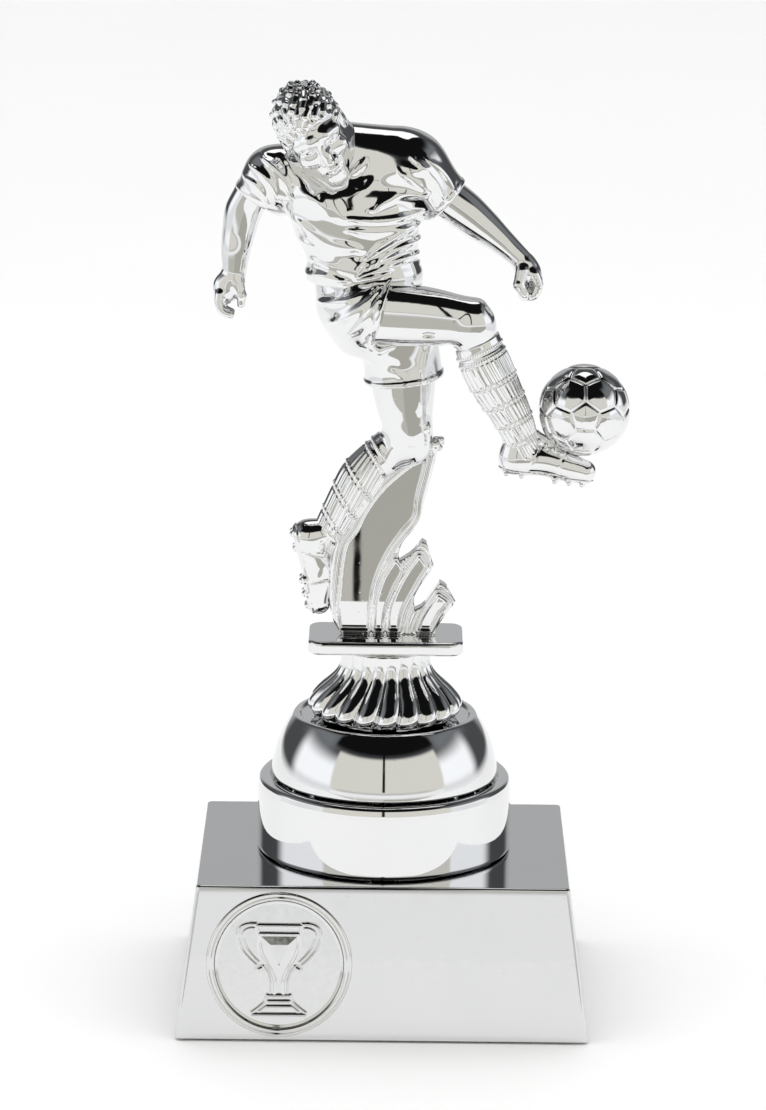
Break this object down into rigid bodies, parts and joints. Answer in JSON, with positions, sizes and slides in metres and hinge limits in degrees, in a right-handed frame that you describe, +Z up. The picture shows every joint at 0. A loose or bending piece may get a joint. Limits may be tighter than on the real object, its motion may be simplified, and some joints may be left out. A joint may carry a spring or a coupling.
{
  "type": "figure trophy",
  "caption": "Chromed footballer kicking a ball, propped by a curved support on a fluted neck, dome and weighted rectangular base with an embossed cup disc.",
  "frame": {"origin": "middle of the underside of the felt pad, on the axis of the clamping rod", "axes": "+Z up along the clamping rod; the player and the emblem face -Y; +X is the side the ball is on"},
  "size_m": [0.0879, 0.0657, 0.1862],
  "materials": {
    "figure_chrome": "bright mirror chrome on moulded plastic",
    "column_chrome": "bright mirror chrome, smooth turned surfaces",
    "base_chrome": "bright mirror chrome, flat faces",
    "emblem_foil": "embossed metallised foil, slightly soft shine",
    "ballast_steel": "sheared mild steel, dull",
    "zinc_hardware": "bright zinc plated",
    "spring_steel": "oiled spring steel",
    "cover_board": "black fibreboard",
    "felt": "black self-adhesive felt"
  },
  "bodies": {
    "base": {"base_shell": "base_chrome", "emblem_disc": "emblem_foil", "ballast_plate": "ballast_steel", "bottom_cover": "cover_board", "felt_pad": "felt", "collar": "column_chrome", "dome": "column_chrome"},
    "figure": {"player": "figure_chrome", "football": "figure_chrome", "support_fin": "figure_chrome", "figure_plate": "figure_chrome", "fluted_skirt": "figure_chrome", "captive_nut": "zinc_hardware", "tie_rod": "zinc_hardware", "base_nut": "zinc_hardware", "clamp_washer": "zinc_hardware", "spring_washer": "spring_steel"}
  },
  "joints": [
    {"name": "figure_swivel", "type": "hinge", "parent": "base", "child": "figure", "pos_m": [0, 0, 0.0579], "axis": [0, 0, 1], "continuous": true}
  ]
}
